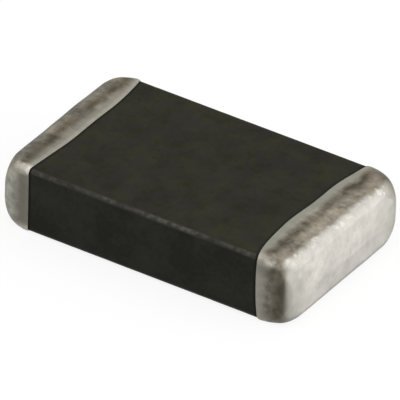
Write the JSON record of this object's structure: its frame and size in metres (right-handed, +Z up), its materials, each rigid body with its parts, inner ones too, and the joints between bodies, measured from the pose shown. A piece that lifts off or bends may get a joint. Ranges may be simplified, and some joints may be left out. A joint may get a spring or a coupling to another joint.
{
  "type": "chip varistor",
  "caption": "Surface-mount chip varistor: a dark ceramic block with printed plates inside and a dipped silver cap on each end.",
  "frame": {"origin": "middle of the footprint, on the board that the chip rests on", "axes": "+X along the chip towards the right termination, +Y across the chip to the back, +Z up from the board"},
  "size_m": [0.0082, 0.005, 0.0018],
  "materials": {
    "ceramic": "matt sintered zinc-oxide ceramic, very dark olive grey",
    "fired_silver": "matt dipped and fired silver with brown-grey tarnish along the edges",
    "electrode_silver": "printed and fired silver-palladium film"
  },
  "bodies": {
    "root": {"ceramic_body": "ceramic", "left_termination": "fired_silver", "right_termination": "fired_silver", "inner_electrode_01": "electrode_silver", "inner_electrode_02": "electrode_silver", "inner_electrode_03": "electrode_silver", "inner_electrode_04": "electrode_silver", "inner_electrode_05": "electrode_silver", "inner_electrode_06": "electrode_silver", "inner_electrode_07": "electrode_silver", "inner_electrode_08": "electrode_silver", "inner_electrode_09": "electrode_silver", "inner_electrode_10": "electrode_silver"}
  },
  "joints": []
}
